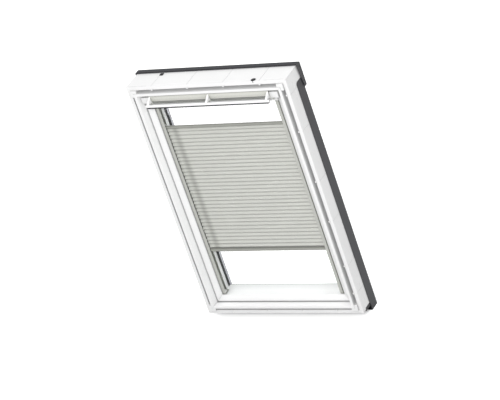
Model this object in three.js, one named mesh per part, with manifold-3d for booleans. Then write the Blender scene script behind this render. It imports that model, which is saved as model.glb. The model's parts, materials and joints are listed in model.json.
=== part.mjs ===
// A centre-pivot roof window with its honeycomb blind, in millimetres.
// It stands upright: +X is to the right seen from the room, -Y faces the room,
// +Y faces the weather, and +Z runs up the slope.
// The pieces are drawn about the middle of the window, with depth 0 at the raised
// front of the frame, and one group then moves them so that the origin lies on the
// sill face, the flat underside of the frame.

import * as THREE from 'three';
import { mergeVertices } from 'three/addons/utils/BufferGeometryUtils.js';
import Module from 'manifold-3d';

const wasm = await Module();
wasm.setup();

// Driving dimensions

const frameWidth = 780;
const frameHeight = 1178;

// Gap between pieces that touch
const fit = 0.3;
// How far a cutting tool runs past what it cuts
const overrun = 5;

// Frame members: widths run inward from the outer face, depths run from the room face
const casingFront = 10;
const frameBack = 126;
const grooveFromEdge = 17;
const grooveWidth = 14;
const grooveDepth = 34;
const notchFront = 5.5;
const notchWidth = 2;
const notchDepth = 1.2;
const stripWidth = 12;
const innerEdgeDepth = 19;
const sideMemberWidth = 55.7;
const bottomMemberWidth = 51.6;
const topMemberWidth = 54.7;
const swingRelief = 4.5;
const reliefSlant = 4;
const sealGrooveDepth = 3;
const sealGrooveFront = 112;
const sealWidth = 6;
const sealReach = 1.1;

// Rebate in the underside of the frame, which the sill gasket fills
const rebateFront = 36;
const rebateBack = 80;
const rebateDepth = 8;

// Tabs over the lining groove, and the fine seams behind them
const acrossTabCount = 4;
const acrossTabShare = 0.2256;
const uprightTabShares = [-0.823, -0.581, -0.192, 0.148, 0.569, 0.871];
const tabWidth = 7;
const tabFront = 6;
const tabBack = 13;
const tabReach = 3;
const tabRoot = 2;
const seamWidth = 1.6;
const seamDepth = 1.2;

// Short marking grooves near the corners
const markLength = 90;
const markWidth = 3;
const markDepth = 1;
const markFromCorner = 10;
const markHeadDepth = 14;
const markSideFromCorner = 38;
const markSideDepth = 52;

// Corner keys in the lining groove
const keyLeg = 17;
const keySetback = 1;

// Cable plug in the head face, and the small drain slot under the hood
const plugShare = 0.6;
const plugY = 19;
const plugRadius = 9;
const plugHeadRadius = 11;
const plugHead = 1.6;
const plugDepth = 8;
const drainShare = -0.659;
const drainY = 110;
const drainWidth = 12;
const drainLength = 7;
const drainDepth = 6;

// Outside sheet metal
const sheet = 1.2;
const claddingFront = 76.6;
const claddingBack = 134.6;
const claddingTopDrop = 59;
const claddingDrop = 35;
const claddingReturn = 7;
const claddingCorner = 14;
const claddingGap = 1.3;
const apronReturnFront = 83;
const apronSheet = 1;
const sillGasketStand = 8;

// Hood over the head of the window
const hoodOverhang = 5;
const hoodRise = 6;
const hoodLap = 107;
const hoodBack = 148.8;
const hoodFront = 120;
const hoodFlangeTopFront = 114;
const hoodFlangeBottomFront = 129;
const hoodChamfer = 5;

// Sash
const sashGap = 2;
const sashFront = 27;
const sashBack = 138;
const sashRail = 24.5;
const sashShoulder = 40.3;
const sashNoseShare = [0.6, 0.35];
const glazingLedge = 14;
const bottomGlazingLedge = 18;
const sashTopHeight = 59.3;
const sashTopFront = 34;
const topNoseHeight = 15;
const topNoseShare = 0.2;

// Glass unit
const paneFront = 121;
const paneThickness = 4;
const paneCavity = 14;
const spacerOuterInset = 4;
const spacerWidth = 6.5;
const gasketThickness = 1.6;
const gasketDepth = 15.7;
const bottomGasketThickness = 0.8;
const bottomGasketDepth = 1.2;
const outerGasketThickness = 1.9;
const outerGasketSetback = 6.2;
const sashSheetGap = 0.3;
const sashSheetSetback = 5.7;
const sashSheetLap = 20;

// Pivot hinges
const pivotY = 82;
const pivotPlateHeight = 80;
const pivotPlateWidth = 50;
const pivotPlateThickness = 2.7;
const pivotPinRadius = 7;
const pivotBushRadius = 12.7;
const pivotClearance = 0.3;

// Lock in the top of the sash
const lockHalfWidth = 40;
const lockFront = 67;
const lockBack = 97;
const lockHeight = 25;
const latchHalfWidth = 8;
const latchFront = 78;
const latchBack = 86;
const latchHeight = 17;
const latchRise = 3.5;
const latchClearance = 0.4;
const latchTravel = 4;
const strikerHalfWidth = 30;
const strikerThickness = 1.2;

// Air slots and filter in the top of the sash
const airSlotShares = [-0.715, -0.455, 0.455, 0.715];
const airSlotWidthShare = 0.195;
const airSlotHeight = 14;
const airSlotDrop = 6.3;
const filterEndGap = 27.8;
const filterFront = 29.9;
const filterHeight = 20;
const filterDrop = 3.3;

// Ventilation flap and control bar
const flapAxisY = 24;
const flapAxisDrop = 31.3;
const flapPinRadius = 2.5;
const flapBeadRadius = 5;
const flapTopGap = 1.23;
const flapWall = 3;
const flapLip = 0.75;
const flapThinning = 1;
const flapShoulderDrop = 5.3;
const flapTopY = 7.5;
const flapFaceY = 6.5;
const flapBulgeDrop = 18.3;
const flapFootY = 14;
const flapFootDrop = 1.5;
const flapEndGap = 0.8;
const flapEndWall = 2;
const ventEndLength = 7.7;
const ventEndGap = 6.8;
const ventEndFront = 18;
const ventEndDrop = 23.6;
const ventEndHeight = 14.7;
const barEndGap = 7.3;
const barFront = -25;
const barThickness = 8;
const barDrop = 19.3;
const barHeight = 11;
const barRound = 3.9;
const bracketWidth = 8;
const bracketInset = 3.5;
const bracketTopDrop = 0.8;
const bracketShoulder = 2.7;
const bracketRootShare = 0.7;
const bracketRootSteps = 5;
const bracketGap = 0.6;

// Blind: rails, bars, cords and honeycomb cloth
const railFront = 41;
const railBack = 75;
const railWidth = 19.5;
const railSheet = 1.4;
const railStep = 5;
const railLip = 7.5;
const railBottomGap = 6.4;
const blindFront = 46;
const blindDepth = 22.3;
const barSheet = 1.4;
const barClipDepth = 10;
const barClipHeight = 3.5;
const topBarDrop = 119.7;
const barFlangeHeight = 16.5;
const bottomFlangeRise = 4;
const blindBarGap = 16.1;
const shoeGap = 7.2;
const shoeDepth = 17;
const shoeInset = 1;
const cordGap = 11.5;
const cordY = 51.3;
const cordRadius = 0.6;
const holderHeight = 9;
const cordBore = 0.9;
const clothHoleShare = 0.5523;
const clothHoleRadius = 1.6;
const clothCells = 33;
const cellPitch = 18.76;
const clothEndGap = 0.7;
const clothPeakInset = 3.1;
const clothFold = 4.5;
const clothWall = 0.7;

// Sizes that follow

const halfW = frameWidth / 2;
const halfH = frameHeight / 2;
const grooveInner = grooveFromEdge + grooveWidth;
const sideInnerX = halfW - sideMemberWidth;
const topInnerZ = halfH - topMemberWidth;
const bottomInnerZ = -halfH + bottomMemberWidth;
const sashHalf = sideInnerX - sashGap;
const sashTopZ = topInnerZ - sashGap;
const sashBottomZ = bottomInnerZ + sashGap;
const openingHalf = sashHalf - sashRail;
const openingBottomZ = sashBottomZ + sashRail;
const glassOpeningTop = sashTopZ - sashTopHeight;
const pivotZ = (sashTopZ + sashBottomZ) / 2;
const glassEdge = openingHalf + glazingLedge;
const ledgeFront = paneFront - fit;
const outerPaneFront = paneFront + paneThickness + paneCavity;
const glassBack = outerPaneFront + paneThickness;
const blindBack = blindFront + blindDepth;
const blindMid = blindFront + blindDepth / 2;
const sillMidY = (casingFront + rebateFront) / 2;
const plugX = halfW * plugShare;
const drainX = halfW * drainShare;
const claddingTop = halfH - claddingTopDrop;
const hoodHalfWidth = halfW + hoodOverhang;
const hoodTopZ = halfH + hoodRise;
const hoodBottomZ = halfH - hoodLap;
const outerGasketInner = openingHalf + outerGasketSetback;
const sashSheetInner = openingHalf + sashSheetSetback;
const filterHalfWidth = openingHalf - filterEndGap;
const ventEndHalfWidth = openingHalf - ventEndGap;
const ventEndStart = ventEndHalfWidth - ventEndLength;
const ventEndTopZ = sashTopZ - ventEndDrop;
const flapHalfWidth = ventEndStart - flapEndGap;
const flapAxisZ = sashTopZ - flapAxisDrop;
const headStripZ = halfH - grooveInner - stripWidth;
const headSlope = (headStripZ - topInnerZ) / innerEdgeDepth;
const flapTopZ = headStripZ - headSlope * (flapTopY + flapWall) - flapTopGap;
const flapLipZ = flapTopZ + headSlope * flapWall;
const flapShoulderZ = flapTopZ - flapShoulderDrop;
const flapBulgeZ = sashTopZ - flapBulgeDrop;
const flapFootZ = flapAxisZ - flapFootDrop;
const barHalfLength = openingHalf - barEndGap;
const barTopZ = sashTopZ - barDrop;
const bracketOffset = flapHalfWidth - bracketInset;
const blindBarHalf = openingHalf - blindBarGap;
const shoeEnd = openingHalf - shoeGap;
const cordX = openingHalf - cordGap;
const clothHoleX = openingHalf * clothHoleShare;
const clothHalfWidth = blindBarHalf - clothEndGap;

// Helpers

const colours = {
  frameWhite: { color: 0xf4f4f2, roughness: 0.35, metalness: 0 },
  keyWhite: { color: 0xececea, roughness: 0.45, metalness: 0 },
  flapWhite: { color: 0xe4e4de, roughness: 0.5, metalness: 0 },
  darkSheet: { color: 0x4d4d50, roughness: 0.45, metalness: 0.4 },
  rubber: { color: 0x18181a, roughness: 0.8, metalness: 0 },
  spacerGrey: { color: 0xa8a8ad, roughness: 0.4, metalness: 0.6 },
  steel: { color: 0xb9bbbd, roughness: 0.35, metalness: 0.9 },
  glass: { color: 0xdfe9ec, roughness: 0.05, metalness: 0, transparent: true, opacity: 0.3 },
  railGrey: { color: 0xc8c9c2, roughness: 0.4, metalness: 0.2 },
  cloth: { color: 0xdcddd6, roughness: 0.95, metalness: 0 },
  cord: { color: 0xe6e6e0, roughness: 0.9, metalness: 0 },
  foam: { color: 0x8b8d8c, roughness: 1, metalness: 0 },
};

const materials = {};
for (const [name, look] of Object.entries(colours)) {
  materials[name] = new THREE.MeshStandardMaterial(look);
}

const model = new THREE.Group();

function add(name, geometry, look) {
  const mesh = new THREE.Mesh(geometry, materials[look]);
  mesh.name = name;
  model.add(mesh);
}

// A closed three.js geometry as a solid that can be joined and cut
function solid(geometry) {
  const bare = geometry.clone();
  bare.deleteAttribute('normal');
  bare.deleteAttribute('uv');
  const merged = mergeVertices(bare);
  return new wasm.Manifold(new wasm.Mesh({
    numProp: 3,
    vertProperties: new Float32Array(merged.attributes.position.array),
    triVerts: new Uint32Array(merged.index.array),
  }));
}

function geometryOf(body) {
  const mesh = body.getMesh();
  const geometry = new THREE.BufferGeometry();
  geometry.setAttribute('position', new THREE.BufferAttribute(new Float32Array(mesh.vertProperties), 3));
  geometry.setIndex(new THREE.BufferAttribute(new Uint32Array(mesh.triVerts), 1));
  geometry.computeVertexNormals();
  return geometry;
}

function block(x0, x1, y0, y1, z0, z1) {
  const geometry = new THREE.BoxGeometry(x1 - x0, y1 - y0, z1 - z0);
  return geometry.translate((x0 + x1) / 2, (y0 + y1) / 2, (z0 + z1) / 2);
}

function shapeOf(outline) {
  if (outline instanceof THREE.Shape) {
    return outline;
  }
  return new THREE.Shape(outline.map(([a, b]) => new THREE.Vector2(a, b)));
}

function extruded(outline, length, curveSegments) {
  return new THREE.ExtrudeGeometry(shapeOf(outline), { depth: length, bevelEnabled: false, curveSegments });
}

// An outline in X and Y, drawn out along Z
function upright(outline, z0, z1, curveSegments = 6) {
  return extruded(outline, z1 - z0, curveSegments).translate(0, 0, z0);
}

// An outline in Y and Z, drawn out along X
function across(outline, x0, x1, curveSegments = 6) {
  const turn = new THREE.Matrix4().set(0, 0, 1, 0, 1, 0, 0, 0, 0, 1, 0, 0, 0, 0, 0, 1);
  return extruded(outline, x1 - x0, curveSegments).applyMatrix4(turn).translate(x0, 0, 0);
}

// An outline in X and Z, drawn out along Y
function through(outline, y0, y1, curveSegments = 6) {
  return extruded(outline, y1 - y0, curveSegments).rotateX(Math.PI / 2).translate(0, y1, 0);
}

function rodAlongX(radius, x0, x1, y, z, sides) {
  const geometry = new THREE.CylinderGeometry(radius, radius, x1 - x0, sides);
  return geometry.rotateZ(Math.PI / 2).translate((x0 + x1) / 2, y, z);
}

function rodAlongZ(radius, z0, z1, x, y, sides) {
  const geometry = new THREE.CylinderGeometry(radius, radius, z1 - z0, sides);
  return geometry.rotateX(Math.PI / 2).translate(x, y, (z0 + z1) / 2);
}

function joined(geometries) {
  return geometries.map(solid).reduce((whole, next) => whole.add(next));
}

function cut(body, geometries) {
  return geometries.reduce((rest, tool) => rest.subtract(solid(tool)), body);
}

function mirrored(outline) {
  return outline.map(([x, y]) => [-x, y]);
}

function roundedRectangle(a0, a1, b0, b1, radius) {
  const shape = new THREE.Shape();
  shape.moveTo(a0 + radius, b0);
  shape.lineTo(a1 - radius, b0);
  shape.absarc(a1 - radius, b0 + radius, radius, -Math.PI / 2, 0);
  shape.lineTo(a1, b1 - radius);
  shape.absarc(a1 - radius, b1 - radius, radius, 0, Math.PI / 2);
  shape.lineTo(a0 + radius, b1);
  shape.absarc(a0 + radius, b1 - radius, radius, Math.PI / 2, Math.PI);
  shape.lineTo(a0, b0 + radius);
  shape.absarc(a0 + radius, b0 + radius, radius, Math.PI, Math.PI * 1.5);
  return shape;
}

const sides = [['left', -1], ['right', 1]];

// Evenly spaced places about zero
function spaced(count, spacing) {
  return Array.from({ length: count }, (_, i) => (i - (count - 1) / 2) * spacing);
}

// Frame

const sealBack = sealGrooveFront + sealWidth;

// The section of a member as width from the outer face and depth; the members across the
// head and the sill stand back behind their inner edge so that the sash can swing
function memberOutline(width, relief) {
  const wall = width - relief;
  const back = relief > 0 ? [[wall, innerEdgeDepth + reliefSlant]] : [];
  return [
    [0, frameBack],
    [0, casingFront],
    [grooveFromEdge, casingFront],
    [grooveFromEdge, grooveDepth],
    [grooveInner, grooveDepth],
    [grooveInner, notchFront + notchWidth],
    [grooveInner + notchDepth, notchFront + notchWidth],
    [grooveInner + notchDepth, notchFront],
    [grooveInner, notchFront],
    [grooveInner, 0],
    [grooveInner + stripWidth, 0],
    [width, innerEdgeDepth],
    ...back,
    [wall, sealGrooveFront],
    [wall - sealGrooveDepth, sealGrooveFront],
    [wall - sealGrooveDepth, sealBack],
    [wall, sealBack],
    [wall, frameBack],
  ];
}

const sideOutline = memberOutline(sideMemberWidth, 0);
const topOutline = memberOutline(topMemberWidth, swingRelief);
const bottomOutline = memberOutline(bottomMemberWidth, swingRelief);

// Each member keeps only its own share of the corners, cut along the mitre
const sideRegion = [
  [-halfW, -halfH + fit],
  [-halfW, halfH - fit],
  [-halfW + topMemberWidth, topInnerZ - fit],
  [-sideInnerX, topInnerZ - fit],
  [-sideInnerX, bottomInnerZ + fit],
  [-halfW + bottomMemberWidth, bottomInnerZ + fit],
];
const topRegion = [
  [-halfW, halfH],
  [halfW, halfH],
  [halfW - topMemberWidth, topInnerZ],
  [-halfW + topMemberWidth, topInnerZ],
];
const bottomRegion = [
  [-halfW, -halfH],
  [halfW, -halfH],
  [halfW - bottomMemberWidth, bottomInnerZ],
  [-halfW + bottomMemberWidth, bottomInnerZ],
];

const acrossTabs = spaced(acrossTabCount, frameWidth * acrossTabShare);
const uprightTabs = uprightTabShares.map((share) => halfH * share);

function acrossTab(x, side) {
  const outer = side * (halfH - grooveFromEdge + tabRoot);
  const inner = side * (halfH - grooveFromEdge - tabReach);
  const low = Math.min(outer, inner);
  const high = Math.max(outer, inner);
  return block(x - tabWidth / 2, x + tabWidth / 2, tabFront, tabBack, low, high);
}

function acrossSeam(x, side) {
  const low = side > 0 ? halfH - seamDepth : -halfH - overrun;
  const high = side > 0 ? halfH + overrun : -halfH + seamDepth;
  return block(x - seamWidth / 2, x + seamWidth / 2, casingFront - overrun, frameBack + overrun, low, high);
}

function acrossMember(outline, region, side) {
  const section = outline.map(([width, depth]) => [depth, side * (halfH - width)]);
  const bar = solid(across(section, -halfW, halfW));
  const tabbed = acrossTabs.reduce((body, x) => body.add(solid(acrossTab(x, side))), bar);
  const seamed = cut(tabbed, acrossTabs.map((x) => acrossSeam(x, side)));
  return seamed.intersect(solid(through(region, -overrun, frameBack + overrun)));
}

const sillRebate = block(-halfW - overrun, halfW + overrun, rebateFront, rebateBack,
  -halfH - overrun, -halfH + rebateDepth);

function headCuts() {
  const markEnd = halfW - markFromCorner;
  const marks = [-1, 1].map((side) => {
    const from = side * (markEnd - markLength);
    const to = side * markEnd;
    return block(Math.min(from, to), Math.max(from, to), markHeadDepth - markWidth / 2,
      markHeadDepth + markWidth / 2, halfH - markDepth, halfH + overrun);
  });
  const plugBore = rodAlongZ(plugRadius + fit, halfH - plugDepth - fit, halfH + overrun, plugX, plugY, 16);
  const drain = block(drainX - drainWidth / 2, drainX + drainWidth / 2, drainY - drainLength / 2,
    drainY + drainLength / 2, halfH - drainDepth, halfH + overrun);
  return [...marks, plugBore, drain];
}

const sideMarkPlaces = [1, -1].map((end) => {
  const outer = halfH - markSideFromCorner;
  return end > 0 ? [outer - markLength, outer] : [-outer, -outer + markLength];
});

function sideMember() {
  const section = sideOutline.map(([width, depth]) => [-halfW + width, depth]);
  const bar = solid(upright(section, -halfH, halfH));
  const tabbed = uprightTabs.reduce((body, z) => body.add(solid(block(
    -halfW + grooveFromEdge - tabRoot, -halfW + grooveFromEdge + tabReach,
    tabFront, tabBack, z - tabWidth / 2, z + tabWidth / 2,
  ))), bar);
  const seams = uprightTabs.map((z) => block(
    -halfW - overrun, -halfW + seamDepth, casingFront - overrun, claddingFront,
    z - seamWidth / 2, z + seamWidth / 2,
  ));
  const marks = sideMarkPlaces.map(([low, high]) => block(
    -halfW - overrun, -halfW + markDepth, markSideDepth - markWidth / 2,
    markSideDepth + markWidth / 2, low, high,
  ));
  const plateHalf = pivotPlateWidth / 2 + fit;
  const plateTall = pivotPlateHeight / 2 + fit;
  const plate = block(-sideInnerX - pivotPlateThickness - fit, -sideInnerX + overrun, pivotY - plateHalf,
    pivotY + plateHalf, pivotZ - plateTall, pivotZ + plateTall);
  const cutBody = cut(tabbed, [...seams, ...marks, plate, sillRebate]);
  return cutBody.intersect(solid(through(sideRegion, -overrun, frameBack + overrun)));
}

function mirrorAcross(body) {
  return body.mirror([1, 0, 0]);
}

add('frame_top', geometryOf(cut(acrossMember(topOutline, topRegion, 1), headCuts())), 'frameWhite');
const bottomMember = cut(acrossMember(bottomOutline, bottomRegion, -1), [sillRebate]);
add('frame_bottom', geometryOf(bottomMember), 'frameWhite');
const leftMember = sideMember();
add('frame_left', geometryOf(leftMember), 'frameWhite');
add('frame_right', geometryOf(mirrorAcross(leftMember)), 'frameWhite');

// Corner keys: L-shaped blocks that fill the corners of the lining groove
const keyOuterX = halfW - grooveFromEdge - fit;
const keyInnerX = halfW - grooveInner + fit;
const keyOuterZ = halfH - grooveFromEdge - fit;
const keyInnerZ = halfH - grooveInner + fit;
for (const [across_, sx] of sides) {
  for (const [along, sz] of [['top', 1], ['bottom', -1]]) {
    const outline = [
      [keyOuterX, keyOuterZ],
      [keyOuterX, keyInnerZ - keyLeg],
      [keyInnerX, keyInnerZ - keyLeg],
      [keyInnerX, keyInnerZ],
      [keyInnerX - keyLeg, keyInnerZ],
      [keyInnerX - keyLeg, keyOuterZ],
    ].map(([x, z]) => [sx * x, sz * z]);
    add(`corner_key_${along}_${across_}`, through(outline, keySetback, grooveDepth - fit), 'keyWhite');
  }
}

// Cable plug: a round rubber head on a stem that fills the bore
add('cable_plug', geometryOf(joined([
  rodAlongZ(plugRadius, halfH - plugDepth, halfH + fit + plugHead, plugX, plugY, 16),
  rodAlongZ(plugHeadRadius, halfH + fit, halfH + fit + plugHead, plugX, plugY, 16),
])), 'rubber');

// Weather seal: a rubber ring let into the frame
const sealWallX = sideInnerX + sealGrooveDepth - fit;
const sealWallTopZ = topInnerZ + swingRelief + sealGrooveDepth - fit;
const sealWallBottomZ = bottomInnerZ - swingRelief - sealGrooveDepth + fit;
const sealOuter = [
  [-sealWallX, sealWallBottomZ],
  [sealWallX, sealWallBottomZ],
  [sealWallX, sealWallTopZ],
  [-sealWallX, sealWallTopZ],
];
const sealInnerX = sideInnerX - sealReach;
const sealInnerTopZ = topInnerZ + swingRelief - sealReach;
const sealInnerBottomZ = bottomInnerZ - swingRelief + sealReach;
const sealFront = sealGrooveFront + fit;
const sealRear = sealBack - fit;
add('frame_seal', geometryOf(cut(
  solid(through(sealOuter, sealFront, sealRear)),
  [block(-sealInnerX, sealInnerX, sealFront - overrun, sealRear + overrun, sealInnerBottomZ, sealInnerTopZ)],
)), 'rubber');

// Side claddings: a sheet down the outer side, folded over the frame and back in to it
const claddingOuterX = halfW + fit + sheet;
const claddingInnerX = sideInnerX + claddingGap;
const claddingOutline = [
  [halfW + fit, claddingFront],
  [claddingOuterX, claddingFront],
  [claddingOuterX, claddingBack],
  [claddingInnerX, claddingBack],
  [claddingInnerX, claddingBack - claddingReturn],
  [claddingInnerX + sheet, claddingBack - claddingReturn],
  [claddingInnerX + sheet, claddingBack - sheet],
  [halfW + fit, claddingBack - sheet],
];
const claddingFoot = -halfH - claddingDrop;

function claddingCornerCut() {
  const corner = new THREE.Shape();
  corner.moveTo(claddingFront - overrun, claddingTop + overrun);
  corner.lineTo(claddingFront - overrun, claddingTop - claddingCorner);
  corner.lineTo(claddingFront, claddingTop - claddingCorner);
  corner.absarc(claddingFront + claddingCorner, claddingTop - claddingCorner, claddingCorner,
    Math.PI, Math.PI / 2, true);
  corner.lineTo(claddingFront + claddingCorner, claddingTop + overrun);
  return across(corner, halfW - overrun, claddingOuterX + overrun, 5);
}

// Below the frame the side cladding only runs back from the apron's front edge
const claddingHeel = block(halfW - overrun, claddingOuterX + overrun, claddingFront - overrun,
  apronReturnFront, claddingFoot - overrun, -halfH);
const claddingRight = cut(solid(upright(claddingOutline, claddingFoot, claddingTop)),
  [claddingCornerCut(), claddingHeel]);
add('cladding_right', geometryOf(claddingRight), 'darkSheet');
add('cladding_left', geometryOf(mirrorAcross(claddingRight)), 'darkSheet');

// Apron: the bottom cladding, an angle under the folds of the side claddings
const apronTopZ = bottomInnerZ - swingRelief;
const apronFace = frameBack + fit;
const apronOutline = [
  [apronFace, apronTopZ],
  [apronFace, claddingFoot + apronSheet],
  [apronReturnFront, claddingFoot + apronSheet],
  [apronReturnFront, claddingFoot],
  [apronFace + apronSheet, claddingFoot],
  [apronFace + apronSheet, apronTopZ],
];
add('cladding_bottom', across(apronOutline, -halfW, halfW), 'darkSheet');

add('sill_gasket', block(-halfW, halfW, rebateFront + fit, rebateBack - fit,
  -halfH - sillGasketStand, -halfH + rebateDepth - fit), 'rubber');

// Hood: a sheet casing over the head, open below and towards the room
const hoodProfile = [
  [hoodFront, halfH + fit],
  [hoodFront, hoodTopZ],
  [hoodBack - hoodChamfer, hoodTopZ],
  [hoodBack, hoodTopZ - hoodChamfer],
  [hoodBack, hoodBottomZ],
  [hoodBack - sheet, hoodBottomZ],
  [hoodBack - sheet, hoodTopZ - hoodChamfer - sheet / 2],
  [hoodBack - hoodChamfer - sheet / 2, hoodTopZ - sheet],
  [hoodFront + sheet, hoodTopZ - sheet],
  [hoodFront + sheet, halfH + fit],
];
const hoodFlange = [
  [hoodFlangeTopFront, hoodTopZ],
  [hoodBack - hoodChamfer, hoodTopZ],
  [hoodBack, hoodTopZ - hoodChamfer],
  [hoodBack, hoodBottomZ],
  [hoodFlangeBottomFront, hoodBottomZ],
];

function hood() {
  const cover = across(hoodProfile, -hoodHalfWidth, hoodHalfWidth);
  const flanges = [-1, 1].map((side) => {
    const from = side > 0 ? hoodHalfWidth - sheet : -hoodHalfWidth;
    return across(hoodFlange, from, from + sheet);
  });
  return joined([cover, ...flanges]);
}

add('hood', geometryOf(hood()), 'darkSheet');

// Pivot hinges: a plate and pin on the frame, and a bush in the sash
const pivotPinEnd = openingHalf + fit;
for (const [name, side] of sides) {
  const plate = block(sideInnerX, sideInnerX + pivotPlateThickness, pivotY - pivotPlateWidth / 2,
    pivotY + pivotPlateWidth / 2, pivotZ - pivotPlateHeight / 2, pivotZ + pivotPlateHeight / 2);
  const pin = rodAlongX(pivotPinRadius, pivotPinEnd, sideInnerX + pivotPlateThickness, pivotY, pivotZ, 20);
  const hinge = joined([plate, pin]);
  add(`hinge_plate_${name}`, geometryOf(side > 0 ? hinge : mirrorAcross(hinge)), 'steel');
  const bush = cut(
    solid(rodAlongX(pivotBushRadius, openingHalf, sashHalf, pivotY, pivotZ, 20)),
    [rodAlongX(pivotPinRadius + pivotClearance, openingHalf - overrun, sashHalf + overrun,
      pivotY, pivotZ, 20)],
  );
  add(`hinge_bush_${name}`, geometryOf(side > 0 ? bush : mirrorAcross(bush)), 'keyWhite');
}

// Striker plate under the head of the frame
const headReliefZ = topInnerZ + swingRelief;
add('striker_plate', block(-strikerHalfWidth, strikerHalfWidth, lockFront, lockBack,
  headReliefZ - fit - strikerThickness, headReliefZ - fit), 'steel');

// Sash

// Section of the sides and bottom: width from the outer face, and depth
function sashOutline(ledge, place) {
  const shape = new THREE.Shape();
  shape.moveTo(...place(0, sashFront));
  const bend = place(
    sashRail * sashNoseShare[0],
    sashFront + (sashShoulder - sashFront) * sashNoseShare[1],
  );
  shape.quadraticCurveTo(...bend, ...place(sashRail, sashShoulder));
  shape.lineTo(...place(sashRail, ledgeFront));
  shape.lineTo(...place(sashRail - ledge, ledgeFront));
  shape.lineTo(...place(sashRail - ledge, sashBack));
  shape.lineTo(...place(0, sashBack));
  return shape;
}

const sashSideRegion = [
  [-sashHalf, sashBottomZ + fit],
  [-sashHalf, sashTopZ],
  [-openingHalf, sashTopZ],
  [-openingHalf, openingBottomZ + fit],
];
const sashBottomRegion = [
  [-sashHalf, sashBottomZ],
  [sashHalf, sashBottomZ],
  [openingHalf, openingBottomZ],
  [-openingHalf, openingBottomZ],
];

function sashSide() {
  const section = sashOutline(glazingLedge, (width, depth) => [-sashHalf + width, depth]);
  const bar = solid(upright(section, sashBottomZ, sashTopZ));
  const bore = rodAlongX(pivotBushRadius + fit, -sashHalf - overrun, -openingHalf + overrun,
    pivotY, pivotZ, 20);
  return cut(bar, [bore]).intersect(solid(through(sashSideRegion, -overrun, sashBack + overrun)));
}

const sashLeft = sashSide();
add('sash_left', geometryOf(sashLeft), 'frameWhite');
add('sash_right', geometryOf(mirrorAcross(sashLeft)), 'frameWhite');

const footSection = sashOutline(bottomGlazingLedge, (width, depth) => [depth, sashBottomZ + width]);
const sashFoot = solid(across(footSection, -sashHalf, sashHalf));
add('sash_bottom', geometryOf(sashFoot.intersect(
  solid(through(sashBottomRegion, -overrun, sashBack + overrun)),
)), 'frameWhite');

// The top of the sash stands between the sides and holds the lock, the air slots and the flap
function sashTopOutline() {
  const shape = new THREE.Shape();
  shape.moveTo(sashTopFront, sashTopZ);
  shape.lineTo(sashTopFront, glassOpeningTop + topNoseHeight);
  shape.quadraticCurveTo(sashTopFront, glassOpeningTop + topNoseHeight * topNoseShare,
    sashShoulder, glassOpeningTop);
  shape.lineTo(ledgeFront, glassOpeningTop);
  shape.lineTo(ledgeFront, glassOpeningTop + glazingLedge);
  shape.lineTo(sashBack, glassOpeningTop + glazingLedge);
  shape.lineTo(sashBack, sashTopZ);
  return shape;
}

const airSlotHalf = openingHalf * airSlotWidthShare / 2;
const airSlotTopZ = sashTopZ - airSlotDrop;
const airSlots = airSlotShares.map((share) => block(
  openingHalf * share - airSlotHalf, openingHalf * share + airSlotHalf,
  sashTopFront - overrun, sashBack + overrun, airSlotTopZ - airSlotHeight, airSlotTopZ,
));
const lockBottomZ = sashTopZ - lockHeight;
const latchBottomZ = sashTopZ - latchHeight;
const lockPocket = block(-lockHalfWidth - fit, lockHalfWidth + fit, lockFront - fit, lockBack + fit,
  lockBottomZ - fit, sashTopZ + overrun);
const sashTopHalf = openingHalf - fit;
add('sash_top', geometryOf(cut(
  solid(across(sashTopOutline(), -sashTopHalf, sashTopHalf)),
  [...airSlots, lockPocket],
)), 'frameWhite');

// Lock: a case in the sash top, and a latch that the control bar draws down
const latchTopZ = sashTopZ + latchRise;
add('lock_case', geometryOf(cut(
  solid(block(-lockHalfWidth, lockHalfWidth, lockFront, lockBack, lockBottomZ, sashTopZ)),
  [block(-latchHalfWidth - latchClearance, latchHalfWidth + latchClearance, latchFront - latchClearance,
    latchBack + latchClearance, latchBottomZ - latchTravel - latchClearance, sashTopZ + overrun)],
)), 'steel');
add('lock_latch', block(-latchHalfWidth, latchHalfWidth, latchFront, latchBack,
  latchBottomZ, latchTopZ), 'steel');

const filterTopZ = sashTopZ - filterDrop;
add('air_filter', block(-filterHalfWidth, filterHalfWidth, filterFront, sashTopFront - fit,
  filterTopZ - filterHeight, filterTopZ), 'foam');

// Glass unit
const glassHalf = glassEdge - fit;
const glassBottomZ = openingBottomZ - bottomGlazingLedge + fit;
const glassTopZ = glassOpeningTop + glazingLedge - fit;
add('inner_pane', block(-glassHalf, glassHalf, paneFront, paneFront + paneThickness,
  glassBottomZ, glassTopZ), 'glass');
add('outer_pane', block(-glassHalf, glassHalf, outerPaneFront, glassBack, glassBottomZ, glassTopZ), 'glass');
const spacerHalf = glassHalf - spacerOuterInset;
const spacerFront = paneFront + paneThickness + fit;
const spacerRear = outerPaneFront - fit;
const spacerBottomZ = glassBottomZ + fit;
const spacerTopZ = glassTopZ - spacerOuterInset;
add('pane_spacer', geometryOf(cut(
  solid(block(-spacerHalf, spacerHalf, spacerFront, spacerRear, spacerBottomZ, spacerTopZ)),
  [block(-spacerHalf + spacerWidth, spacerHalf - spacerWidth, spacerFront - overrun, spacerRear + overrun,
    spacerBottomZ + spacerWidth, spacerTopZ - spacerWidth)],
)), 'spacerGrey');

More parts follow.
